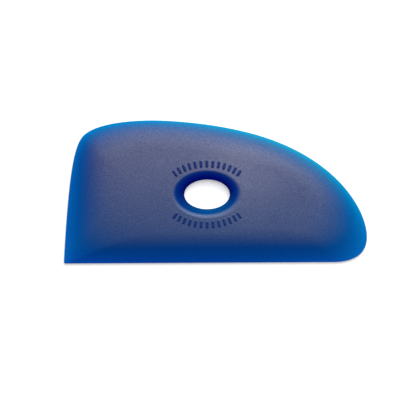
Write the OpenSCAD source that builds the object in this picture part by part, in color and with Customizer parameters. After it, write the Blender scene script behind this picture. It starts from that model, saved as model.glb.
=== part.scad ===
// Pottery rib: one cast slab of soft translucent polymer for shaping and smoothing clay.
// It lies on its flat back. The heel corner is at the left, the nose at the right,
// the straight edge runs along the front and the curved back along the rear.

/* [Overall size] */
// Length from the heel corner to the tip of the nose
rib_length = 107.95; // [96:0.05:125]
// Width from the straight edge to the crown of the curved back
rib_width = 50.8; // [46:0.05:60]
// Thickness at the top of the domed face, without the grip bars
rib_thickness = 6.35; // [5.5:0.05:9]

/* [Nose] */
// Distance from the tip of the nose back to the end of the straight edge
nose_reach = 11.93; // [9:0.01:15]
// Height of the tip of the nose above the straight edge
nose_rise = 9.03; // [7:0.01:12]
// How full the nose is where it leaves the straight edge
nose_pull_front = 5; // [3:0.05:7]
// How full the nose is just below its tip
nose_pull_below = 7.54; // [5:0.01:8.5]
// How full the nose is just above its tip
nose_pull_above = 8.36; // [5:0.01:12]

/* [Curved back] */
// Distance from the tip of the nose to the steady middle of the back
back_from_nose = 34.06; // [28:0.01:38]
// Drop from the crown to the steady middle of the back
back_below_crown = 6.99; // [5.5:0.01:9]
// Slope of the back at its steady middle, in degrees
back_slope = 20; // [17:0.1:24]
// How far the steady middle reaches towards the nose
back_pull_nose = 27.01; // [20:0.01:30]
// How far the steady middle reaches towards the crown
back_pull_crown = 16.76; // [12:0.01:19]
// Distance from the heel corner to the crown
crown_from_heel = 30.97; // [26:0.01:36]
// How flat the crown is on its nose side
crown_pull_nose = 7.57; // [4:0.01:12]
// How flat the crown is on its heel side
crown_pull_heel = 4.45; // [3:0.01:8]

/* [Shoulder, side and heel] */
// Distance from the heel corner to the middle of the rounded shoulder
shoulder_from_heel = 6.8; // [5:0.01:9]
// Drop from the crown to the middle of the rounded shoulder
shoulder_below_crown = 5.77; // [4.5:0.01:7.5]
// Slope of the shoulder at its middle, in degrees
shoulder_slope = 50.56; // [44:0.01:56]
// How full the shoulder is towards the crown
shoulder_pull_crown = 6.93; // [4:0.01:9]
// How full the shoulder is towards the side
shoulder_pull_side = 4.92; // [3:0.01:7]
// Lean of the short side at the heel, in degrees from square
side_lean = 3.46; // [1:0.01:6]
// How long the side stays almost straight above the heel
side_pull = 30; // [20:0.1:32]
// Radius of the heel corner
heel_round = 0.7; // [0.3:0.05:2]

/* [Bevel] */
// Thickness of the thin edge all round
edge_thickness = 1.2; // [0.8:0.05:2]
// Rounding under the thin edge
foot_round = 0.3; // [0.1:0.05:0.5]
// Width of the bevel along the straight edge
bevel_front = 10.3; // [8:0.1:11]
// Width of the bevel along the short side
bevel_side = 17.4; // [13:0.1:19]
// Width of the bevel along the curved back
bevel_back = 8; // [6:0.1:11]
// Width of the bevel at the shoulder
bevel_shoulder = 11.5; // [9:0.1:13]
// Width of the bevel at the tip of the nose
bevel_nose = 20; // [16:0.1:22]
// How much sooner than the straight edge the bevel's inner line turns into the nose
bevel_nose_back = 12; // [9:0.1:14]
// How much higher than the tip of the nose the bevel's inner line has its tip
bevel_nose_lift = 8.5; // [7:0.1:10]
// Rounding of the bevel's inner line above the heel corner
bevel_heel_round = 11; // [8:0.1:13]
// How strongly the bevel curves: 1 is a plain chamfer, 2 a parabola
bevel_curve = 3; // [2:0.1:4]
// How far the rounding of the bevel runs on over the face, in widths of the bevel
bevel_spread = 1.35; // [1:0.05:1.5]

/* [Domed face] */
// Fall of the domed face from its top to a line through the ends
dome_fall_length = 1.4; // [0.5:0.1:2.5]
// Fall of the domed face from its top to a line through the long edges
dome_fall_width = 2.3; // [0.5:0.1:3]

/* [Finger hole] */
// Distance from the heel corner to the middle of the hole
hole_from_heel = 51.1; // [42:0.1:60]
// Distance from the straight edge to the middle of the hole
hole_from_edge = 24.35; // [22:0.05:28]
// Length of the oval hole
hole_length = 16.2; // [13:0.1:20]
// Width of the oval hole
hole_width = 10.5; // [8:0.1:13]
// How far the rounded mouth of the hole spreads beyond its ends
mouth_length = 4.2; // [2:0.1:5]
// How far the rounded mouth of the hole spreads beyond its long sides
mouth_width = 3.3; // [2:0.1:4]
// Depth of the rounded mouth
mouth_depth = 3.8; // [2:0.1:4.5]
// How steeply the mouth sets off from the face at its rim, in degrees
mouth_start = 9; // [5:1:40]

/* [Grip bars] */
// Number of grip bars in each of the two rows
bar_count = 13; // [5:1:17]
// Length of a grip bar, across its row
bar_length = 2.4; // [1.5:0.1:3]
// Width of a grip bar
bar_width = 0.7; // [0.5:0.05:1]
// Height of a grip bar above the domed face
bar_height = 0.3; // [0.2:0.05:0.5]
// Distance from the ends of the hole to the line of the bars
bar_gap_length = 7.6; // [6.5:0.1:9]
// Distance from the long sides of the hole to the line of the bars
bar_gap_width = 5.5; // [5:0.1:7]
// Angle that each row of bars spans round the hole, in degrees
bar_span = 92; // [60:1:120]

/* [Hidden] */

// Numbers of steps along each stretch of the outline and across the face
steps_straight = 10;
steps_nose = 14;
steps_back_low = 22;
steps_back_high = 12;
steps_shoulder = 12;
steps_side = 10;
steps_heel = 5;
steps_bevel = 10;
steps_dome = 5;
steps_mouth = 8;
// Facets round the oval hole and round the ends of a grip bar
facets_hole = 96;
facets_bar = 16;
// Share of the radius at which a cubic curve stands in for a quarter circle
arc_pull = 0.55;
// Shares by which the pulls shorten towards the bevel's inner line, in tight bends and in gentle ones
tight_shortening = 0.5;
gentle_shortening = 0.12;
// Share of each half length of the oval rim at a point between its ends and its long sides
diagonal_share = 0.7;
// Spare length of a cutter past a face, so that the cut is clean
cut_spare = 1;

// Where the middle of the hole and the top of the dome are
hole_middle = [hole_from_heel, hole_from_edge];

// A direction in the plane of the rib
function heading(angle) = [cos(angle), sin(angle)];

// The point or value at a share of the way from the first to the second
function between(a, b, share) = a + (b - a) * share;

// Points along a straight stretch, without its last one
function straight(a, b, steps) = [for (i = [0 : steps - 1]) between(a, b, i / steps)];

// A point of a cubic curve through four control points
function cubic(a, b, c, d, t) =
    pow(1 - t, 3) * a + 3 * pow(1 - t, 2) * t * b + 3 * (1 - t) * t * t * c + pow(t, 3) * d;

// Points along a bend that leaves one point at a heading and meets the next at another,
// without its last one. A longer pull keeps the bend closer to its heading there.
function bend(a, a_heading, a_pull, b, b_heading, b_pull, steps) =
    [for (i = [0 : steps - 1])
        cubic(a, a + a_pull * heading(a_heading), b - b_pull * heading(b_heading), b, i / steps)];

// The closed outline, counter-clockwise from the heel: at 0 the thin edge, at 1 the bevel's inner line,
// and between them the lines that the bevel passes through
function rib_outline(inner) =
    let (
        lean = 90 - side_lean * (1 - inner),
        corner = inner * [bevel_side, bevel_front],
        heel = between(heel_round, bevel_heel_round, inner),
        front_start = corner + [heel, 0],
        front_end = [rib_length - nose_reach - inner * bevel_nose_back, corner[1]],
        tip = [rib_length - inner * bevel_nose, nose_rise + inner * bevel_nose_lift],
        back_middle = [rib_length - back_from_nose, rib_width - back_below_crown]
            + inner * bevel_back * heading(270 - back_slope),
        crown = [crown_from_heel, rib_width - inner * bevel_back],
        shoulder_middle = [shoulder_from_heel, rib_width - shoulder_below_crown]
            + inner * bevel_shoulder * heading(270 + shoulder_slope),
        side_foot = corner + heel * heading(lean),
        tight = 1 - inner * tight_shortening,
        gentle = 1 - inner * gentle_shortening
    )
    concat(
        straight(front_start, front_end, steps_straight),
        bend(front_end, 0, nose_pull_front * tight, tip, 90, nose_pull_below * tight, steps_nose),
        bend(tip, 90, nose_pull_above * tight,
             back_middle, 180 - back_slope, back_pull_nose * gentle, steps_back_low),
        bend(back_middle, 180 - back_slope, back_pull_crown * gentle,
             crown, 180, crown_pull_nose * gentle, steps_back_high),
        bend(crown, 180, crown_pull_heel * gentle,
             shoulder_middle, 180 + shoulder_slope, shoulder_pull_crown * tight, steps_shoulder),
        bend(shoulder_middle, 180 + shoulder_slope, shoulder_pull_side * tight,
             side_foot, 180 + lean, side_pull * tight, steps_side),
        bend(side_foot, 180 + lean, arc_pull * heel, front_start, 0, arc_pull * heel, steps_heel)
    );

edge_line = rib_outline(0);
inner_line = rib_outline(1);
points_round = len(edge_line);
lowest_x = min([for (p = edge_line) p[0]]);
middle_x = (lowest_x + max([for (p = edge_line) p[0]])) / 2;
middle_y = rib_width / 2;

// Height of the domed face over a point of the plan
function dome(p) =
    rib_thickness
    - dome_fall_length * pow((p[0] - hole_middle[0]) / (rib_length / 2), 2)
    - dome_fall_width * pow((p[1] - hole_middle[1]) / (rib_width / 2), 2);

// Height of the face over a point of the plan, seen from one point of the thin edge and the point
// of the bevel's inner line that belongs to it: the rounding rises to the dome and then dies out
function face(p, outer, inner) =
    let (share = min(1, norm(p - outer) / (norm(inner - outer) * bevel_spread)))
    between(edge_thickness, dome(p), 1 - pow(1 - share, bevel_curve));

// Rings of points from the flat back, round the thin edge, up the bevel and over the dome
function ring_level(share, z) = [for (p = rib_outline(share)) concat(p, z)];
function ring_bevel(share) =
    let (line = rib_outline(share))
    [for (i = [0 : points_round - 1]) concat(line[i], face(line[i], edge_line[i], inner_line[i]))];
function ring_dome(share) =
    [for (i = [0 : points_round - 1])
        let (p = between(inner_line[i], hole_middle, share))
        concat(p, face(p, edge_line[i], inner_line[i]))];

rings = concat(
    [ring_level(foot_round / bevel_front, 0), ring_level(0, foot_round), ring_level(0, edge_thickness)],
    [for (j = [1 : steps_bevel]) ring_bevel(j / steps_bevel)],
    [for (j = [1 : steps_dome]) ring_dome(j / (steps_dome + 1))]
);
ring_total = len(rings);
body_points = concat([for (r = rings) for (p = r) p],
                     [concat(hole_middle, 0), concat(hole_middle, dome(hole_middle))]);
back_point = ring_total * points_round;
top_point = back_point + 1;

// Corner number of a ring, counted round and round
function corner_at(ring, i) = ring * points_round + i % points_round;

body_faces = concat(
    [for (i = [0 : points_round - 1]) [corner_at(0, i), corner_at(0, i + 1), back_point]],
    [for (r = [0 : ring_total - 2]) for (i = [0 : points_round - 1])
        [corner_at(r, i), corner_at(r + 1, i), corner_at(r + 1, i + 1)]],
    [for (r = [0 : ring_total - 2]) for (i = [0 : points_round - 1])
        [corner_at(r, i), corner_at(r + 1, i + 1), corner_at(r, i + 1)]],
    [for (i = [0 : points_round - 1])
        [corner_at(ring_total - 1, i), top_point, corner_at(ring_total - 1, i + 1)]]
);

// The solid slab, before the hole is cut
module slab() {
    polyhedron(points = body_points, faces = body_faces);
}

// The straight oval wall of the finger hole
module hole_wall() {
    translate([hole_middle[0], hole_middle[1], -cut_spare])
        scale([hole_length / 2, hole_width / 2, 1])
            cylinder(h = rib_thickness + 2 * cut_spare, r = 1, $fn = facets_hole);
}

// The rounded mouth: a funnel whose wall is upright below and leans outwards as it rises to the face
module hole_mouth() {
    outer_length = hole_length / 2 + mouth_length;
    outer_width = hole_width / 2 + mouth_width;
    throat = hole_width / 2 / outer_width;
    rim_height = dome(hole_middle + diagonal_share * [outer_length, outer_width]);
    wall = [for (j = [0 : steps_mouth])
        let (turn = between(90, mouth_start, j / steps_mouth))
        let (reach = (sin(turn) - sin(mouth_start)) / (1 - sin(mouth_start)))
        let (drop = (cos(mouth_start) - cos(turn)) / cos(mouth_start))
        [between(1, throat, reach), mouth_depth * (1 - drop)]];
    flare = 1 + cut_spare * (1 - throat) * (1 + sin(mouth_start)) / (sin(mouth_start) * mouth_depth);
    above = mouth_depth + cut_spare;
    translate([hole_middle[0], hole_middle[1], rim_height - mouth_depth])
        scale([outer_length, outer_width, 1])
            rotate_extrude($fn = facets_hole)
                polygon(concat([[0, 0]], wall, [[flare, above], [0, above]]));
}

// One raised grip bar with round ends, standing across its row
module grip_bar(angle) {
    half_length = hole_length / 2 + bar_gap_length;
    half_width = hole_width / 2 + bar_gap_width;
    at = hole_middle + [half_length * cos(angle), half_width * sin(angle)];
    turn = atan2(half_length * sin(angle), half_width * cos(angle));
    reach = (bar_length - bar_width) / 2;
    translate([at[0], at[1], rib_thickness / 2])
        rotate(turn)
            linear_extrude(dome(at) + bar_height - rib_thickness / 2)
                union() {
                    square([2 * reach, bar_width], center = true);
                    translate([reach, 0])
                        circle(d = bar_width, $fn = facets_bar);
                    translate([-reach, 0])
                        circle(d = bar_width, $fn = facets_bar);
                }
}

module grip_bars() {
    for (row = [90, 270])
        for (i = [0 : bar_count - 1])
            grip_bar(row + bar_span * (i / (bar_count - 1) - 0.5));
}

module rib_body() {
    color([0.06, 0.16, 0.5])
        translate([-middle_x, -middle_y, 0]) {
            difference() {
                slab();
                hole_wall();
                hole_mouth();
            }
            grip_bars();
        }
}

rib_body();
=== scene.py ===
# %% [markdown]
# A potter's rib, cast in one piece from a soft, translucent blue polymer.
#
# The real tool is a single slab: a thin edge all round, a broad rounding, a gently domed face and an
# oval finger hole with a polished mouth. So there is one main piece to make here, and it has to
# carry the whole picture: its outline, the way its thickness falls to the edge, and a body that is
# bright where it is thin and frosted where it is thick. The lesson starts with the camera and a way
# to write trees of nodes. Then come the outline, the skin, the finish, and the light.

# %% Load the frame
import math

import bpy
from mathutils import Matrix, Vector


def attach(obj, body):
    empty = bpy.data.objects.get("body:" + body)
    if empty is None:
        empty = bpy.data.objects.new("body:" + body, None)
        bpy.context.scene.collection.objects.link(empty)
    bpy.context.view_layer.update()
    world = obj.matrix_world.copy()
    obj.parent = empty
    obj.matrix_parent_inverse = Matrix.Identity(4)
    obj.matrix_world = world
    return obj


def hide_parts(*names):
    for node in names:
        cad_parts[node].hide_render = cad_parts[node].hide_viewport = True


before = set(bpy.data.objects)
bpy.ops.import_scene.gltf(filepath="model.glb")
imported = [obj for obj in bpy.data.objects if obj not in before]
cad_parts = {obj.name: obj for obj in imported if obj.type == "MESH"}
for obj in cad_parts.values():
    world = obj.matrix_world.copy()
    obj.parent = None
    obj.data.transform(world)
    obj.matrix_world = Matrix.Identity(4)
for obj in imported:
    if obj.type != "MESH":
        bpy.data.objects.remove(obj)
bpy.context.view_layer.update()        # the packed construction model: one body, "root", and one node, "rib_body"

# %% [markdown]
# The photograph looks straight down on the rib, which lies a third of a degree off square. A camera
# close by would show the high parts larger and look sideways into the hole, so a long lens from well
# above is used. The width of the picture at the rib's own level sets the lens, and the place of the
# rib in the picture sets where the camera hangs. These sizes and those of the rib are millimetres,
# as a maker would measure them, and MM turns them into Blender's metres.

# %% Set the camera
MM = 0.001

PICTURE_PIXELS = 416
MM_PER_PIXEL = 0.3565
RIB_MIDDLE_IN_PICTURE = Vector((215.15, 191.4))
RIB_TURN = math.radians(0.295)
CAMERA_HEIGHT = 700.0
SENSOR = 36.0
NEAREST_SEEN = 10.0


def make_camera():
    camera = bpy.data.objects.new("camera", bpy.data.cameras.new("camera"))
    bpy.context.scene.collection.objects.link(camera)
    offset = Vector((PICTURE_PIXELS / 2, PICTURE_PIXELS / 2)) - RIB_MIDDLE_IN_PICTURE
    offset = Vector((offset.x, -offset.y)) * MM_PER_PIXEL
    offset.rotate(Matrix.Rotation(-RIB_TURN, 2))
    camera.location = (offset.x * MM, offset.y * MM, CAMERA_HEIGHT * MM)
    camera.rotation_euler = (0, 0, -RIB_TURN)
    camera.data.sensor_width = SENSOR
    camera.data.lens = SENSOR * CAMERA_HEIGHT / (PICTURE_PIXELS * MM_PER_PIXEL)
    camera.data.clip_start = NEAREST_SEEN * MM
    bpy.context.scene.camera = camera
    print("lens in millimetres:", round(camera.data.lens, 1))


make_camera()
bpy.context.scene.view_settings.view_transform = "Standard"

# %% [markdown]
# Blender's materials and its Geometry Nodes are both trees of nodes, and a formula in them soon
# becomes a thicket of Math nodes. Two small classes keep it readable. A Tree adds a node of any
# type. A Wire is the output of a node, and Python's own operators work on it: writing a * b adds
# the node that multiplies.

# %% Write trees of nodes
class Tree:
    """A tree of nodes that is being filled in."""

    def __init__(self, nodes, links):
        self.nodes = nodes
        self.links = links

    def add(self, kind, settings=None, inputs=None, out=0):
        """Adds a node: its type, its settings, and then the values or links of its sockets."""
        node = self.nodes.new(kind)
        for name, value in (settings or {}).items():
            setattr(node, name, value)
        for key, value in (inputs or {}).items():
            self.feed(node.inputs[key], value)
        return Wire(self, node.outputs[out])

    def feed(self, socket, value):
        """Links a wire to a socket, or gives the socket a value of its own."""
        if isinstance(value, Wire):
            self.links.new(value.socket, socket)
        else:
            socket.default_value = value

    def maths(self, operation, *values):
        return self.add("ShaderNodeMath", {"operation": operation}, dict(enumerate(values)))

    def vector_maths(self, operation, *values, out="Vector"):
        return self.add("ShaderNodeVectorMath", {"operation": operation}, dict(enumerate(values)), out)

    def vector(self, x, y, z):
        return self.add("ShaderNodeCombineXYZ", inputs={0: x, 1: y, 2: z})

    def fade(self, value, none, full):
        """0 where the value is at none and 1 where it is at full, with a soft start and end."""
        return self.add("ShaderNodeMapRange", {"interpolation_type": "SMOOTHSTEP"},
                        {"Value": value, "From Min": none, "From Max": full})


print("a tree can:", ", ".join(name for name in vars(Tree) if not name.startswith("_")))

# %% Calculate with wires
class Wire:
    """The output of a node, which Python can calculate with."""

    def __init__(self, tree, socket):
        self.tree = tree
        self.socket = socket

    def is_vector(self):
        return self.socket.type == "VECTOR"

    def __add__(self, other):
        if self.is_vector():
            return self.tree.vector_maths("ADD", self, other)
        return self.tree.maths("ADD", self, other)

    def __sub__(self, other):
        if self.is_vector():
            return self.tree.vector_maths("SUBTRACT", self, other)
        return self.tree.maths("SUBTRACT", self, other)

    def __mul__(self, other):
        if self.is_vector():
            return self.tree.add("ShaderNodeVectorMath", {"operation": "SCALE"}, {0: self, "Scale": other})
        return self.tree.maths("MULTIPLY", self, other)

    def __truediv__(self, other):
        return self.tree.maths("DIVIDE", self, other)

    def __pow__(self, other):
        return self.tree.maths("POWER", self, other)

    def __radd__(self, other):
        return self + other

    def __rsub__(self, other):
        return self.tree.maths("SUBTRACT", other, self)

    def __rmul__(self, other):
        return self * other

    def part(self, axis):
        """The x, y or z of a vector, for axis 0, 1 or 2."""
        return self.tree.add("ShaderNodeSeparateXYZ", inputs={0: self}, out=axis)


def mix(a, b, share):
    """Goes from a, where the share is 0, to b, where it is 1."""
    return a + (b - a) * share


print("trees of nodes can be written as expressions")

# %% [markdown]
# The outline is a chain of smooth bends between a few stops: the heel, the end of the straight
# edge, the tip of the nose, the steady middle of the back, the crown and the shoulder. It could be
# traced point by point, but a maker draws it with a few sweeps, and so does this script. Each bend
# is a cubic curve that leaves one stop at a heading and meets the next at another. Places are
# measured from the heel, which is the nearly square corner at the lower left.

# %% Name the sizes of the outline
RIB_LENGTH = 107.95
RIB_WIDTH = 50.8

# The nose: where its curve starts, how high its tip is, and how full it is on each side.
NOSE_REACH = 11.93
NOSE_RISE = 9.03
NOSE_PULL_FRONT = 5.0
NOSE_PULL_BELOW = 7.54
NOSE_PULL_ABOVE = 8.36

# The curved back: its steady middle, and its crown.
BACK_FROM_NOSE = 34.06
BACK_BELOW_CROWN = 6.99
BACK_SLOPE = 20.0
BACK_PULL_NOSE = 27.01
BACK_PULL_CROWN = 16.76
CROWN_FROM_HEEL = 30.97
CROWN_PULL_NOSE = 7.57
CROWN_PULL_HEEL = 4.45

# The rounded shoulder, the leaning side and the heel.
SHOULDER_FROM_HEEL = 6.8
SHOULDER_BELOW_CROWN = 5.77
SHOULDER_SLOPE = 50.56
SHOULDER_PULL_CROWN = 6.93
SHOULDER_PULL_SIDE = 4.92
SIDE_LEAN = 3.46
SIDE_PULL = 30.0
HEEL_ROUND = 0.7
HEEL_FULLNESS = 0.55

print("rib in millimetres:", RIB_LENGTH, "by", RIB_WIDTH)

# %% [markdown]
# The thickness grows out of the thin edge over a bevel, which is narrow along the back and wide at
# the side and the nose. The line where the bevel ends is the same chain of bends with its stops
# moved inwards, so the two lines have the same number of points and can be joined point for point.
# A bend on the inner side of a curve is shorter, and so are its pulls.

# %% Name the sizes of the bevel
BEVEL_FRONT = 10.3
BEVEL_SIDE = 17.4
BEVEL_BACK = 8.0
BEVEL_SHOULDER = 11.5
BEVEL_NOSE = 20.0
BEVEL_NOSE_BACK = 12.0
BEVEL_NOSE_LIFT = 8.5
BEVEL_HEEL_ROUND = 11.0

TIGHT_SHORTENING = 0.5
GENTLE_SHORTENING = 0.12

print("narrowest and widest bevel in millimetres:", BEVEL_BACK, "and", BEVEL_NOSE)

# %% Draw bends
def heading(degrees):
    return Vector((math.cos(math.radians(degrees)), math.sin(math.radians(degrees))))


def straight(a, b, steps):
    """Points from a to b, without b."""
    return [a.lerp(b, i / steps) for i in range(steps)]


def bend(a, a_heading, a_pull, b, b_heading, b_pull, steps):
    """Points from a to b, without b: the longer a pull, the longer the bend keeps its heading."""
    c = a + a_pull * heading(a_heading)
    d = b - b_pull * heading(b_heading)
    points = []
    for i in range(steps):
        t = i / steps
        points.append((1 - t) ** 3 * a + 3 * (1 - t) ** 2 * t * c + 3 * (1 - t) * t * t * d + t ** 3 * b)
    return points


quarter = bend(Vector((0, 0)), 0, HEEL_FULLNESS, Vector((1, 1)), 90, HEEL_FULLNESS, 2)
print("half way along a quarter turn of radius 1:", tuple(round(c, 3) for c in quarter[1]))

# %% Draw the outline
STEPS = {"straight": 240, "nose": 40, "back_low": 90, "back_high": 190,
         "shoulder": 44, "side": 64, "heel": 24}


def rib_outline(inner):
    """The thin edge for inner = 0, and the line where the bevel ends for inner = 1."""
    side_heading = 90 - SIDE_LEAN * (1 - inner)
    back_heading = 180 - BACK_SLOPE
    shoulder_heading = 180 + SHOULDER_SLOPE
    heel = HEEL_ROUND + (BEVEL_HEEL_ROUND - HEEL_ROUND) * inner
    corner = Vector((BEVEL_SIDE, BEVEL_FRONT)) * inner

    front_start = corner + Vector((heel, 0))
    front_end = Vector((RIB_LENGTH - NOSE_REACH - inner * BEVEL_NOSE_BACK, corner.y))
    tip = Vector((RIB_LENGTH - inner * BEVEL_NOSE, NOSE_RISE + inner * BEVEL_NOSE_LIFT))
    back = Vector((RIB_LENGTH - BACK_FROM_NOSE, RIB_WIDTH - BACK_BELOW_CROWN))
    back += inner * BEVEL_BACK * heading(back_heading + 90)
    crown = Vector((CROWN_FROM_HEEL, RIB_WIDTH - inner * BEVEL_BACK))
    shoulder = Vector((SHOULDER_FROM_HEEL, RIB_WIDTH - SHOULDER_BELOW_CROWN))
    shoulder += inner * BEVEL_SHOULDER * heading(shoulder_heading + 90)
    side = corner + heel * heading(side_heading)

    tight = 1 - inner * TIGHT_SHORTENING
    gentle = 1 - inner * GENTLE_SHORTENING
    round_heel = HEEL_FULLNESS * heel
    return (
        straight(front_start, front_end, STEPS["straight"])
        + bend(front_end, 0, NOSE_PULL_FRONT * tight, tip, 90, NOSE_PULL_BELOW * tight, STEPS["nose"])
        + bend(tip, 90, NOSE_PULL_ABOVE * tight,
               back, back_heading, BACK_PULL_NOSE * gentle, STEPS["back_low"])
        + bend(back, back_heading, BACK_PULL_CROWN * gentle,
               crown, 180, CROWN_PULL_NOSE * gentle, STEPS["back_high"])
        + bend(crown, 180, CROWN_PULL_HEEL * gentle,
               shoulder, shoulder_heading, SHOULDER_PULL_CROWN * tight, STEPS["shoulder"])
        + bend(shoulder, shoulder_heading, SHOULDER_PULL_SIDE * tight,
               side, 180 + side_heading, SIDE_PULL * tight, STEPS["side"])
        + bend(side, 180 + side_heading, round_heel, front_start, 0, round_heel, STEPS["heel"])
    )


EDGE_LINE = rib_outline(0)
INNER_LINE = rib_outline(1)
AROUND = len(EDGE_LINE)
print("points round the outline:", AROUND)

# %% [markdown]
# The frame's origin is the middle of the rib, while the outline is measured from the heel, so one
# shift takes a point from the heel to the frame. The small round at the heel cuts off the very end
# of the length, and the shift allows for it. Each line becomes an object of loose edges, from which
# Geometry Nodes can read the points by their number.

# %% Lay the guide lines
TO_FRAME = Vector((-(min(p.x for p in EDGE_LINE) + RIB_LENGTH) / 2, -RIB_WIDTH / 2))


def line_object(name, points):
    """A closed line of points in the frame, as a guide for the tree of nodes."""
    mesh = bpy.data.meshes.new(name)
    placed = [((p + TO_FRAME) * MM).to_3d() for p in points]
    mesh.from_pydata(placed, [(i, (i + 1) % len(placed)) for i in range(len(placed))], [])
    guide = bpy.data.objects.new(name, mesh)
    bpy.context.scene.collection.objects.link(guide)
    return guide


edge_guide = line_object("edge_line", EDGE_LINE)
inner_guide = line_object("inner_line", INNER_LINE)
print("shift from the heel to the frame:", [round(c, 2) for c in TO_FRAME])

# %% [markdown]
# The skin of the rib follows a rule, so a tree of Geometry Nodes makes it. A subdivided mesh would
# have to be pinched into this shape by hand, while a rule keeps the edge even and lets every size
# be changed. The skin is made in zones. Each zone is a grid that is wrapped once round the rib: a
# column of the grid belongs to one point of the outline, and its rings run from the edge inwards.
#
# The tree has a named input for each of its main sizes. The edge line and the inner line are read
# column by column, so a formula below can speak of the edge and of the inner line at its own column.

# %% Start the tree of the skin
RIB_THICKNESS = 6.35
EDGE_THICKNESS = 1.2
FOOT_ROUND = 0.3
DOME_FALL_LENGTH = 1.4
DOME_FALL_WIDTH = 2.3
HOLE_LENGTH = 16.2
HOLE_WIDTH = 10.5
MOUTH_LENGTH = 4.2
MOUTH_WIDTH = 3.3
MOUTH_DEPTH = 3.8
BAR_HEIGHT = 0.25

SIZES = {
    "Thickness": RIB_THICKNESS, "Edge thickness": EDGE_THICKNESS, "Foot round": FOOT_ROUND,
    "Dome fall along": DOME_FALL_LENGTH, "Dome fall across": DOME_FALL_WIDTH,
    "Hole length": HOLE_LENGTH, "Hole width": HOLE_WIDTH, "Mouth length": MOUTH_LENGTH,
    "Mouth width": MOUTH_WIDTH, "Mouth depth": MOUTH_DEPTH, "Bar height": BAR_HEIGHT,
}
THINGS = {"Edge line": "NodeSocketObject", "Inner line": "NodeSocketObject",
          "Finish": "NodeSocketMaterial"}

group = bpy.data.node_groups.new("rib_skin", "GeometryNodeTree")
group.interface.new_socket("Geometry", in_out="OUTPUT", socket_type="NodeSocketGeometry")
sockets = {name: group.interface.new_socket(name, in_out="INPUT", socket_type=kind)
           for name, kind in (THINGS | dict.fromkeys(SIZES, "NodeSocketFloat")).items()}
skin = Tree(group.nodes, group.links)
entry = group.nodes.new("NodeGroupInput")
given = {name: Wire(skin, entry.outputs[name]) for name in sockets}
print("named inputs of the skin:", ", ".join(given))

# %% Read the guide lines
index = skin.add("GeometryNodeInputIndex")
position = skin.add("GeometryNodeInputPosition")
column = skin.maths("MODULO", index, AROUND + 1)


def guide_point(name):
    """The point of a guide line that belongs to a column, where the last column closes the ring."""
    line = skin.add("GeometryNodeObjectInfo", inputs={"Object": given[name]}, out="Geometry")
    return skin.add("GeometryNodeSampleIndex", {"data_type": "FLOAT_VECTOR"},
                    {"Geometry": line, "Value": position, "Index": skin.maths("MODULO", column, AROUND)})


edge = guide_point("Edge line")
inner = guide_point("Inner line")
print("columns of a zone:", AROUND + 1)

# %% [markdown]
# The oval finger hole is a little left of the middle. Every column of the skin ends at the hole, so
# it needs the point of the oval that lies opposite: the angle at which the inner line is seen from
# the middle of the hole, stretched as the oval is.

# %% Place the ovals
HOLE_MIDDLE = Vector((51.1, 24.35))

hole_middle = ((HOLE_MIDDLE + TO_FRAME) * MM).to_3d()
hole_oval = (given["Hole length"] / 2, given["Hole width"] / 2)
mouth_oval = (hole_oval[0] + given["Mouth length"], hole_oval[1] + given["Mouth width"])

from_middle = inner - hole_middle
angle = skin.maths("ARCTAN2", from_middle.part(1) / mouth_oval[1], from_middle.part(0) / mouth_oval[0])
across = skin.maths("COSINE", angle)
along = skin.maths("SINE", angle)


def oval(half_length, half_width):
    """The point of an oval round the middle of the hole that belongs to a column."""
    return skin.vector(across * half_length + hole_middle.x, along * half_width + hole_middle.y, 0.0)


print("middle of the hole in the frame:", [round(c, 5) for c in hole_middle])

# %% [markdown]
# The face is a low dome over the middle, and towards the edge a rounding takes it down to the thin
# edge. A bevel that simply ended at the inner line would leave a crease, and the camera would see
# it as a band. So the rounding is a smooth function of the distance to the edge, and it runs on
# past the inner line before it has faded into the dome.
#
# The same distance also says how deep the polymer is for the eye. That number, the depth, is stored
# on the skin, and the finish reads it later.

# %% Shape the face
BEVEL_SPREAD = 1.35
BEVEL_CURVE = 3.0
DEPTH_CURVE = 2.1


def apart(a, b):
    return skin.vector_maths("DISTANCE", a, b, out="Value")


full_width = apart(inner, edge) * BEVEL_SPREAD


def inwards(point):
    """How far in from the edge a point is: 0 at the edge, 1 where the rounding has ended."""
    return skin.maths("MINIMUM", apart(point, edge) / full_width, 1.0)


def face(point):
    """The height of the face over a point, without the grip bars."""
    u = (point.part(0) - hole_middle.x) / (RIB_LENGTH / 2 * MM)
    v = (point.part(1) - hole_middle.y) / (RIB_WIDTH / 2 * MM)
    top = given["Thickness"] - given["Dome fall along"] * u * u - given["Dome fall across"] * v * v
    rise = 1 - (1 - inwards(point)) ** BEVEL_CURVE
    return mix(given["Edge thickness"], top, rise)


def depth_at(point):
    """How deep the polymer looks: 0 at the thin edge, 1 over the thick middle."""
    return 1 - (1 - inwards(point)) ** DEPTH_CURVE


print("the rounding runs over", BEVEL_SPREAD, "widths of the bevel")

# %% [markdown]
# Two rows of small raised bars, one behind the hole and one in front of it, give wet fingers a
# grip. They could be separate pegs set into the face, but a mould makes them in one with it, and
# their sides are soft. So they are a height that is added to the face: for each point, the nearest
# bar of its row is found by its number, and the distance to it says how far the point is raised.

# %% Raise the grip bars
BAR_COUNT = 13
BAR_LENGTH = 2.4
BAR_WIDTH = 0.7
BAR_SOFT = 0.2
BAR_GAP_LENGTH = 7.6
BAR_GAP_WIDTH = 5.5
BAR_SPAN = 92.0


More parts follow.
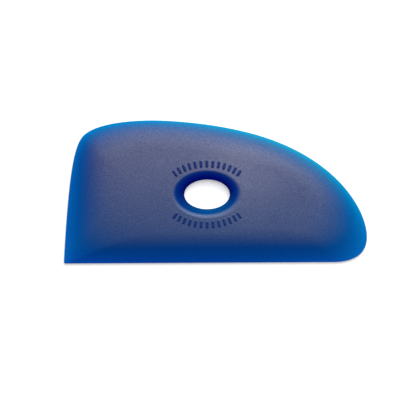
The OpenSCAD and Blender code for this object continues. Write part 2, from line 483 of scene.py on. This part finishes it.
def from_nearest_bar(point):
    """The way from the middle of the nearest bar to a point, along the bar and beside it."""
    x = (point.part(0) - hole_middle.x) / MM
    y = skin.maths("ABSOLUTE", (point.part(1) - hole_middle.y) / MM)
    half_length = HOLE_LENGTH / 2 + BAR_GAP_LENGTH
    half_width = HOLE_WIDTH / 2 + BAR_GAP_WIDTH
    step = math.radians(BAR_SPAN / (BAR_COUNT - 1))
    last = (BAR_COUNT - 1) / 2
    seen_at = skin.maths("ARCTAN2", y / half_width, x / half_length)
    number = skin.maths("ROUND", (seen_at - math.pi / 2) / step)
    number = skin.maths("MAXIMUM", skin.maths("MINIMUM", number, last), -last)
    bar_at = number * step + math.pi / 2
    cos_bar = skin.maths("COSINE", bar_at)
    sin_bar = skin.maths("SINE", bar_at)
    turn = skin.maths("ARCTAN2", sin_bar * half_length, cos_bar * half_width)
    cos_turn = skin.maths("COSINE", turn)
    sin_turn = skin.maths("SINE", turn)
    dx = x - cos_bar * half_length
    dy = y - sin_bar * half_width
    return dx * cos_turn + dy * sin_turn, dy * cos_turn - dx * sin_turn


def raised(point):
    """How far a point of the face is raised into a grip bar, from 0 to 1."""
    along_bar, beside = from_nearest_bar(point)
    past_end = skin.maths("ABSOLUTE", along_bar) - (BAR_LENGTH - BAR_WIDTH) / 2
    past_end = skin.maths("MAXIMUM", past_end, 0.0)
    outside = skin.maths("SQRT", past_end * past_end + beside * beside) - BAR_WIDTH / 2
    return skin.fade(outside, BAR_SOFT, -BAR_SOFT)


print("grip bars:", 2 * BAR_COUNT)

# %% [markdown]
# Now the zones themselves, from the sheet up the edge and over the rim of the hole: the small round
# of the foot, the thin wall, the bevel, the dome, the fine zone that holds the grip bars, the rolled
# mouth of the hole and its straight throat. Each is a function of the share of the way across the
# zone. It returns the point, its height, and the marks that the finish needs: the depth, the tint
# of the hole, and the polish. The rings of the bevel crowd towards the edge, where it curves most.

# %% Shape the zones of the edge and the face
BEVEL_CROWDING = 1.4
FINE_LENGTH = 5.5
FINE_WIDTH = 4.2
BAR_POLISH = 0.75
# The bars take a share of the hole's tint. It is painted shade, which darkens them as the shade on their sides
# would.
BAR_PAINTED_SHADE = 0.4

foot_inset = given["Foot round"] / (BEVEL_FRONT * MM)
fine_oval = (mouth_oval[0] + FINE_LENGTH * MM, mouth_oval[1] + FINE_WIDTH * MM)


def foot(share):
    turn = share * (math.pi / 2)
    point = mix(edge, inner, (1 - skin.maths("SINE", turn)) * foot_inset)
    return point, (1 - skin.maths("COSINE", turn)) * given["Foot round"], {}


def wall(share):
    return edge, mix(given["Foot round"], given["Edge thickness"], share), {}


def bevel(share):
    point = mix(edge, inner, share ** BEVEL_CROWDING)
    return point, face(point), {"depth": depth_at(point)}


def dome(share):
    point = mix(inner, oval(*fine_oval), share)
    return point, face(point), {"depth": depth_at(point)}


def grip(share):
    point = mix(oval(*fine_oval), oval(*mouth_oval), share)
    bar = raised(point)
    # On the bars, the tint of the hole is painted shade.
    marks = {"depth": depth_at(point), "polish": BAR_POLISH * bar, "hole": BAR_PAINTED_SHADE * bar}
    return point, face(point) + bar * given["Bar height"], marks


print("round of the foot in millimetres:", FOOT_ROUND)

# %% Shape the zones of the hole
MOUTH_START = 9.0
RIM_SHARE = 0.1
DEPTH_IN_THROAT = 0.73
HOLE_TINT_END = 0.5

POLISH_MIDDLE = HOLE_MIDDLE + Vector((-0.33, 0.5))
POLISH_LENGTH = 3.17
POLISH_WIDTH = 2.45
POLISH_SOFT = 0.04


def polished(point):
    """1 on the polished wall of the hole, 0 on the frosted face outside it."""
    middle = (POLISH_MIDDLE + TO_FRAME) * MM
    u = (point.part(0) - middle.x) / ((HOLE_LENGTH / 2 + POLISH_LENGTH) * MM)
    v = (point.part(1) - middle.y) / ((HOLE_WIDTH / 2 + POLISH_WIDTH) * MM)
    return skin.fade(u * u + v * v, 1 + 2 * POLISH_SOFT, 1 - 2 * POLISH_SOFT)


def mouth(share):
    """A quarter of an oval that rolls down into the hole, and sets off with a slight slope."""
    start = math.radians(MOUTH_START)
    turn = mix(start, math.pi / 2, share)
    reach = (skin.maths("SINE", turn) - math.sin(start)) / (1 - math.sin(start))
    drop = (math.cos(start) - skin.maths("COSINE", turn)) / math.cos(start)
    point = oval(mix(mouth_oval[0], hole_oval[0], reach), mix(mouth_oval[1], hole_oval[1], reach))
    past_rim = skin.maths("MINIMUM", share / RIM_SHARE, 1.0)
    marks = {"depth": mix(1.0, DEPTH_IN_THROAT, past_rim), "polish": polished(point),
             "hole": skin.fade(share, 0.0, HOLE_TINT_END)}
    return point, face(point) - given["Mouth depth"] * drop, marks


def throat(share):
    point = oval(*hole_oval)
    top = face(point) - given["Mouth depth"]
    return point, top * (1 - share), {"depth": DEPTH_IN_THROAT, "polish": 1.0, "hole": 1.0}


print("the mouth widens the hole by", MOUTH_LENGTH, "and", MOUTH_WIDTH, "mm on each side")

# %% [markdown]
# The underside of the rib is flat. It repeats the zones at height zero, with fewer rings because it
# is plain, and its own first zone starts where the round foot stands on the sheet, so the skin is
# closed there. Each zone is laid as a grid of its own, with its marks stored on its points.

# %% Lay one zone
MARKS = ("depth", "polish", "hole")


def flat_bevel(share):
    point = mix(edge, inner, foot_inset + (1 - foot_inset) * share ** BEVEL_CROWDING)
    return point, 0.0, {"depth": depth_at(point)}


def store(geometry, name, value):
    return skin.add("GeometryNodeStoreNamedAttribute", {"data_type": "FLOAT", "domain": "POINT"},
                    {"Geometry": geometry, "Name": name, "Value": value})


def laid(zone, rings, is_under):
    """A grid with a row for each ring of the zone, wrapped once round the rib."""
    point, height, marks = zone(skin.maths("FLOOR", index / (AROUND + 1)) / rings)
    if is_under:
        height = 0.0
        marks = {"depth": marks["depth"]}
    grid = skin.add("GeometryNodeMeshGrid", inputs={"Vertices X": rings + 1, "Vertices Y": AROUND + 1})
    place = skin.vector(point.part(0), point.part(1), height)
    placed = skin.add("GeometryNodeSetPosition", inputs={"Geometry": grid, "Position": place})
    for name in MARKS:
        placed = store(placed, name, marks.get(name, 0.0))
    return placed if is_under else skin.add("GeometryNodeFlipFaces", inputs={"Mesh": placed})


print("marks on every zone:", ", ".join(MARKS))

# %% [markdown]
# The zones meet point for point, and a weld makes them one skin. Left as it is, every face would
# show as a facet, so the faces are shaded smooth. The last mark is stored only now, because a skin
# knows its normals once it has been welded: the lean, which is how far each point faces the curved
# back, where the lamp will hang. The finish uses the lean to paint light and shade.

# %% Join the zones into one skin
FRONT_ZONES = ((foot, 4), (wall, 2), (bevel, 34), (dome, 10), (grip, 36), (mouth, 18), (throat, 5))
UNDER_ZONES = ((flat_bevel, 8), (dome, 4), (grip, 2), (mouth, 5))
WELD = 0.002

joined = group.nodes.new("GeometryNodeJoinGeometry")
for zones, is_under in ((FRONT_ZONES, False), (UNDER_ZONES, True)):
    for zone, rings in zones:
        group.links.new(laid(zone, rings, is_under).socket, joined.inputs[0])
welded = skin.add("GeometryNodeMergeByDistance",
                  inputs={"Geometry": Wire(skin, joined.outputs[0]), "Distance": WELD * MM})
smooth = skin.add("GeometryNodeSetShadeSmooth", inputs={"Geometry": welded})
# The lean is kept so that the finish can paint light and shade by it.
leaning = store(smooth, "lean", skin.add("GeometryNodeInputNormal").part(1))
real = skin.add("GeometryNodeRealizeInstances", inputs={"Geometry": leaning})
finished = skin.add("GeometryNodeSetMaterial", inputs={"Geometry": real, "Material": given["Finish"]})
leave = group.nodes.new("NodeGroupOutput")
group.links.new(finished.socket, leave.inputs[0])
print("nodes in the tree of the skin:", len(group.nodes))

# %% [markdown]
# The polymer is clear blue right through, so its own colour is a matter of depth. Real light would
# travel through it, which is slow to render and can't be baked. Instead the base colour follows the
# marks on the skin: each cause takes or gives a steady share of the green and of the blue, so the
# causes add up in an exponent, as they do in coloured glass.
#
# Only the depth is the polymer's own colour. The other causes are painted light and shade. The skin
# is painted lighter and greener where it leans towards the lamp. The deep part towards the curved
# back is painted darker and more violet under the lamp's bloom. The thin part towards the nose is
# painted greener, as if lit through. The wall of the hole, and in part the bars, add a tint of their
# own, and painted light and shade by how they lean to the lamp, how steep they are and which side of
# the hole they lie on.

# %% Name the colours of the polymer and of its painted light and shade
SLOT = "blue_polymer"

RED = 0.0012
# A little red is painted into the body where the coat lies. It is painted sheen colour, so that the bloom looks
# mauve.
RED_OF_PAINTED_SHEEN = 0.0085
GREEN_AT_EDGE = 0.1604
# Besides the depth and the hole's tint, these changes are painted light and shade: the lean, the back, the nose,
# and the hole's lean, steepness and side.
GREEN_CHANGES = {"depth": -1.77, "lean": 1.19, "back": -0.89, "nose": 0.16,
                 "hole": -0.74, "hole_steep": 0.25, "hole_side": 0.2}
BLUE_AT_EDGE = 0.5599
BLUE_CHANGES = {"depth": -1.33, "lean": 0.14, "back": -0.29,
                "hole": 0.01, "hole_lean": -0.32, "hole_steep": 0.52, "hole_side": 0.11}

print("colour of the thin edge:", (RED, GREEN_AT_EDGE, BLUE_AT_EDGE))

# %% Read the marks, colour the body and paint its light and shade
GRAIN_SIZE = 0.55
GRAIN_IN_BODY = 0.35


def noise(tree, place, spot):
    """Smooth chance between -0.5 and 0.5, with spots of about this size in millimetres."""
    chance = tree.add("ShaderNodeTexNoise", inputs={"Vector": place, "Scale": 1 / (spot * MM)}, out="Fac")
    return chance - 0.5


def read_marks(tree):
    """The marks on the skin, the place on the rib, and the fine grain that the mould has left."""
    marks = {name: tree.add("ShaderNodeAttribute", {"attribute_name": name}, out="Fac")
             for name in ("depth", "lean", "hole", "polish")}
    marks["place"] = tree.add("ShaderNodeTexCoord", out="Object")
    marks["along"] = marks["place"].part(0) / (RIB_LENGTH / 2 * MM)
    marks["across"] = marks["place"].part(1) / (RIB_WIDTH / 2 * MM)
    marks["grain"] = noise(tree, marks["place"], GRAIN_SIZE)
    return marks


# The base colour: the polymer's depth, with painted light and shade from the lean, the back, the nose and the
# wall of the hole.
def body_colour_with_painted_light(tree, marks, frost_and_sheen):
    depth = marks["depth"]
    lean = marks["lean"]
    hole = marks["hole"]
    side = (marks["place"].part(0) - (HOLE_MIDDLE.x - RIB_LENGTH / 2) * MM) / (HOLE_LENGTH / 2 * MM)
    causes = {"depth": depth, "lean": lean, "back": marks["across"] * depth,
              "nose": marks["along"] * (1 - depth), "hole": hole, "hole_lean": hole * lean,
              "hole_steep": hole * (lean * lean), "hole_side": hole * side}

    def level(at_edge, changes):
        total = GRAIN_IN_BODY * marks["grain"]
        for cause, change in changes.items():
            total = total + change * causes[cause]
        return at_edge * tree.maths("EXPONENT", total)

    return tree.add("ShaderNodeCombineColor", inputs={
        "Red": RED + RED_OF_PAINTED_SHEEN * frost_and_sheen, "Green": level(GREEN_AT_EDGE, GREEN_CHANGES),
        "Blue": level(BLUE_AT_EDGE, BLUE_CHANGES)})


print("size of the grain in millimetres:", GRAIN_SIZE)

# %% [markdown]
# The mould leaves the skin finely frosted, and the frost shows as a grey bloom over the dark, thick
# part. A rough coat does the same: it scatters the lamp's light on top of the body's colour. The
# weight of the coat grows with the depth, ends at the polish, and is a little stronger towards two
# opposite corners. It also grows with the lean and in one soft patch beside the hole. That part is
# painted sheen, a stronger bloom where the lamp's light falls. Where the coat lies, a little red is
# painted into the body's colour, so that the bloom looks mauve. A fine grain and a broad cloud keep
# it from looking sprayed on.

# %% Spread the frost and the painted sheen
FROST_FULL = 0.426
FROST_LOW = 0.34
FROST_HIGH = 0.92
PAINTED_SHEEN_BY_LEAN = 0.64
PAINTED_SHEEN_MIDDLE = (9.0, 3.3, 6.0)
PAINTED_SHEEN_REACH = 21.0
PAINTED_SHEEN_DEPTH = 0.37
TWIST_DEPTH = 0.24
GRAIN_DEPTH = 1.1
CLOUD_SIZE = 11.0
CLOUD_DEPTH = 0.2


def frost_and_sheen_cover(tree, marks):
    """How much of the skin is frost, with painted sheen towards the lamp and in one patch."""
    # The lean adds painted sheen: more coat where the skin faces the lamp.
    bloom = tree.fade(marks["depth"] + PAINTED_SHEEN_BY_LEAN * marks["lean"], FROST_LOW, FROST_HIGH)
    # Painted sheen: a stronger bloom in one soft patch where the lamp's light falls.
    away = tree.vector_maths("DISTANCE", marks["place"], [c * MM for c in PAINTED_SHEEN_MIDDLE], out="Value")
    painted_sheen = tree.fade(away, PAINTED_SHEEN_REACH * MM, 0.0)
    spread = 1 + PAINTED_SHEEN_DEPTH * painted_sheen - TWIST_DEPTH * (marks["along"] * marks["across"])
    cloud = noise(tree, marks["place"], CLOUD_SIZE)
    speckle = 1 + GRAIN_DEPTH * marks["grain"] + CLOUD_DEPTH * cloud
    return FROST_FULL * bloom * (1 - marks["polish"]) * spread * speckle


print("reach of the frosted patch in millimetres:", PAINTED_SHEEN_REACH)

# %% Mix the polymer
FROST_ROUGHNESS = 0.55
FROST_IOR = 2.2
BODY_ROUGHNESS = 0.6


def make_polymer():
    material = bpy.data.materials.new(SLOT)
    material.use_nodes = True
    tree = Tree(material.node_tree.nodes, material.node_tree.links)
    marks = read_marks(tree)
    frost_and_sheen = frost_and_sheen_cover(tree, marks)
    looks = {"Base Color": body_colour_with_painted_light(tree, marks, frost_and_sheen), "Coat Weight": frost_and_sheen,
             "Coat Roughness": FROST_ROUGHNESS, "Coat IOR": FROST_IOR,
             "Roughness": BODY_ROUGHNESS, "Specular IOR Level": 0.0}
    for name, value in looks.items():
        tree.feed(tree.nodes["Principled BSDF"].inputs[name], value)
    print("nodes in the polymer:", len(tree.nodes))
    return material


polymer = make_polymer()

# %% [markdown]
# A seed object with nothing in it carries the tree as a modifier. Its result is copied as a plain
# mesh, and the seed and the two guides go, so the rib that is left stands on its own, with its
# origin at the frame's origin. It rides on the one body and takes the place of the one solid.

# %% Grow the rib
def make_rib():
    seed = bpy.data.objects.new("rib_seed", bpy.data.meshes.new("rib_seed"))
    bpy.context.scene.collection.objects.link(seed)
    grown = seed.modifiers.new("skin", "NODES")
    grown.node_group = group
    grown[sockets["Edge line"].identifier] = edge_guide
    grown[sockets["Inner line"].identifier] = inner_guide
    grown[sockets["Finish"].identifier] = polymer
    for name, value in SIZES.items():
        grown[sockets[name].identifier] = value * MM
    bpy.context.view_layer.update()
    ready = seed.evaluated_get(bpy.context.evaluated_depsgraph_get())
    mesh = bpy.data.meshes.new_from_object(ready)
    seed.modifiers.remove(grown)
    rib = bpy.data.objects.new("rib", mesh)
    bpy.context.scene.collection.objects.link(rib)
    for helper in (seed, edge_guide, inner_guide):
        bpy.data.objects.remove(helper)
    print("rib:", len(mesh.vertices), "points,", len(mesh.polygons), "faces")
    return rib


rib = make_rib()
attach(rib, "root")
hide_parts("rib_body")

# %% [markdown]
# The rib lies on a plain white sheet. The sheet is white paper that takes the rib's shadow, and for
# the camera a little glow lifts it to the white of the picture. Farther out, where the lamp's light
# runs short, the glow takes over, so the sheet stays white from every side. It is far larger than
# the rib, so its sizes are metres.

# %% Mix the white of the sheet
SHEET_WHITE = 0.8
SHEET_GLOW = 0.44
SHEET_NEAR = 0.1
SHEET_FAR = 0.45


def make_sheet_paper():
    material = bpy.data.materials.new("white_sheet")
    material.use_nodes = True
    tree = Tree(material.node_tree.nodes, material.node_tree.links)
    shader = tree.nodes["Principled BSDF"]
    paper = {"Base Color": (SHEET_WHITE, SHEET_WHITE, SHEET_WHITE, 1), "Roughness": 1.0,
             "Specular IOR Level": 0.0}
    for name, value in paper.items():
        tree.feed(shader.inputs[name], value)
    seen = tree.add("ShaderNodeLightPath", out="Is Camera Ray")
    for ray in ("Is Glossy Ray", "Is Transmission Ray"):
        seen = tree.maths("MAXIMUM", seen, tree.add("ShaderNodeLightPath", out=ray))
    away = tree.vector_maths("LENGTH", tree.add("ShaderNodeTexCoord", out="Object"), out="Value")
    level = mix(SHEET_GLOW, 1.0, tree.fade(away, SHEET_NEAR, SHEET_FAR))
    glow = tree.add("ShaderNodeEmission", inputs={"Color": level})
    off = tree.add("ShaderNodeEmission", inputs={"Strength": 0.0})
    lit = tree.add("ShaderNodeMixShader", inputs={0: seen, 1: off, 2: glow})
    both = tree.add("ShaderNodeAddShader", inputs={0: Wire(tree, shader.outputs[0]), 1: lit})
    tree.feed(tree.nodes["Material Output"].inputs["Surface"], both)
    print("nodes in the white of the sheet:", len(tree.nodes))
    return material


# %% Lay the sheet
SHEET_HALF = 30.0
SHEET_DROP = 0.0001


def make_floor():
    mesh = bpy.data.meshes.new("floor")
    corners = [(-SHEET_HALF, -SHEET_HALF, 0), (SHEET_HALF, -SHEET_HALF, 0),
               (SHEET_HALF, SHEET_HALF, 0), (-SHEET_HALF, SHEET_HALF, 0)]
    mesh.from_pydata(corners, [], [(0, 1, 2, 3)])
    mesh.materials.append(make_sheet_paper())
    floor = bpy.data.objects.new("floor", mesh)
    bpy.context.scene.collection.objects.link(floor)
    floor.location.z = -SHEET_DROP
    print("side of the sheet in metres:", 2 * SHEET_HALF)


make_floor()

# %% [markdown]
# One large soft box hangs behind the rib, beyond its curved back, and gives the face its slow fall
# of light from the back to the straight edge. A small lamp would leave a small bright patch and a
# hard shadow instead. The room adds a faint even light. For the camera alone the room is white, so
# that a low view has no horizon. The lamp's place and size are metres too.

# %% Hang the light
LAMP_PLACE = Vector((0.08, 0.30, 0.51))
LAMP_ACROSS = 0.29
LAMP_ALONG = 0.56
LAMP_POWER = 4.2
ROOM_LIGHT = 0.14


def make_lamp():
    data = bpy.data.lights.new("softbox", "AREA")
    data.shape = "RECTANGLE"
    data.size = LAMP_ACROSS
    data.size_y = LAMP_ALONG
    data.energy = LAMP_POWER
    lamp = bpy.data.objects.new("softbox", data)
    bpy.context.scene.collection.objects.link(lamp)
    lamp.location = LAMP_PLACE
    lamp.rotation_euler = LAMP_PLACE.to_track_quat("Z", "Y").to_euler()


def make_room():
    world = bpy.data.worlds.new("room")
    bpy.context.scene.world = world
    world.use_nodes = True
    tree = Tree(world.node_tree.nodes, world.node_tree.links)
    background = tree.nodes["Background"]
    seen = tree.add("ShaderNodeLightPath", out="Is Camera Ray")
    tree.feed(background.inputs["Color"], (1, 1, 1, 1))
    tree.feed(background.inputs["Strength"], mix(ROOM_LIGHT, 1.0, seen))


make_lamp()
make_room()
print("lamp:", LAMP_POWER, "watts,", round(LAMP_PLACE.length, 2), "metres away")
